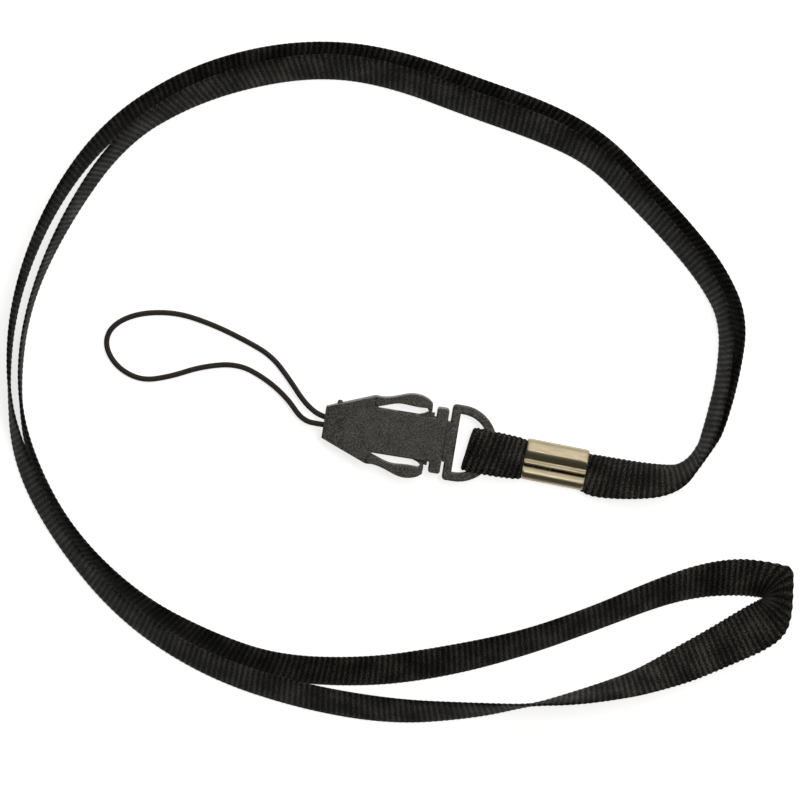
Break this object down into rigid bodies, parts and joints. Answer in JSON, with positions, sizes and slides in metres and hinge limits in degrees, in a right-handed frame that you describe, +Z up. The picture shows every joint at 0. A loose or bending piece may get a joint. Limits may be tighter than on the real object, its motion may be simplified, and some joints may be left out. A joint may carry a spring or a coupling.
{
  "type": "neck lanyard",
  "caption": "Long woven neck strap crimped round a D-ring, with a squeeze-release side buckle and a thin cord loop that ties it to a small device.",
  "frame": {"origin": "on the surface the lanyard lies on, under the centre of the box round the rigid pieces (buckle, D-ring and crimp)", "axes": "+X along the buckle from the cord end to the D-ring, +Y across it towards the left squeeze arm, +Z up out of the surface"},
  "size_m": [0.1913, 0.1537, 0.0102],
  "materials": {
    "strap_ribbon": "black woven polyester ribbon with fine cross ribs",
    "device_cord": "black braided cord",
    "buckle_plastic": "charcoal moulded plastic, fine grain",
    "crimp_metal": "nickel plated sheet with a warm tint, worn"
  },
  "bodies": {
    "strap": {"neck_strap": "strap_ribbon", "strap_loop": "strap_ribbon", "crimp": "crimp_metal"},
    "d_ring": {"d_ring_half": "buckle_plastic"},
    "barb_left": {"latch_barb_left": "buckle_plastic"},
    "barb_right": {"latch_barb_right": "buckle_plastic"},
    "socket": {"socket_body": "buckle_plastic", "cord_pin": "buckle_plastic", "cord_knot": "device_cord", "device_cord": "device_cord"},
    "arm_left": {"squeeze_arm_left": "buckle_plastic"},
    "arm_right": {"squeeze_arm_right": "buckle_plastic"}
  },
  "joints": [
    {"name": "d_ring_swing", "type": "hinge", "parent": "strap", "child": "d_ring", "pos_m": [0.0089, 0, 0.0027], "axis": [0, 1, 0], "range_deg": [-90, 90], "deforming": ["strap_loop"]},
    {"name": "buckle_release", "type": "slide", "parent": "d_ring", "child": "socket", "axis": [-1, 0, 0], "range_m": [0, 0.0165], "deforming": ["latch_barb_left", "latch_barb_right"]},
    {"name": "arm_left_press", "type": "hinge", "parent": "socket", "child": "arm_left", "pos_m": [-0.0194, 0.00695, 0.0027], "axis": [0, 0, -1], "range_deg": [0, 8.5], "stiffness_Nm_per_rad": 0.36},
    {"name": "arm_right_press", "type": "hinge", "parent": "socket", "child": "arm_right", "pos_m": [-0.0194, -0.00695, 0.0027], "axis": [0, 0, 1], "range_deg": [0, 8.5], "stiffness_Nm_per_rad": 0.36},
    {"name": "barb_left_flex", "type": "hinge", "parent": "d_ring", "child": "barb_left", "pos_m": [-0.0162, 0.0026, 0.0027], "axis": [0, 0, -1], "range_deg": [0, 14], "stiffness_Nm_per_rad": 0.02},
    {"name": "barb_right_flex", "type": "hinge", "parent": "d_ring", "child": "barb_right", "pos_m": [-0.0162, -0.0026, 0.0027], "axis": [0, 0, 1], "range_deg": [0, 14], "stiffness_Nm_per_rad": 0.02}
  ],
  "couplings": [
    {"joint": "barb_left_flex", "follows": "arm_left_press", "ratio": 1.6},
    {"joint": "barb_right_flex", "follows": "arm_right_press", "ratio": 1.6}
  ]
}
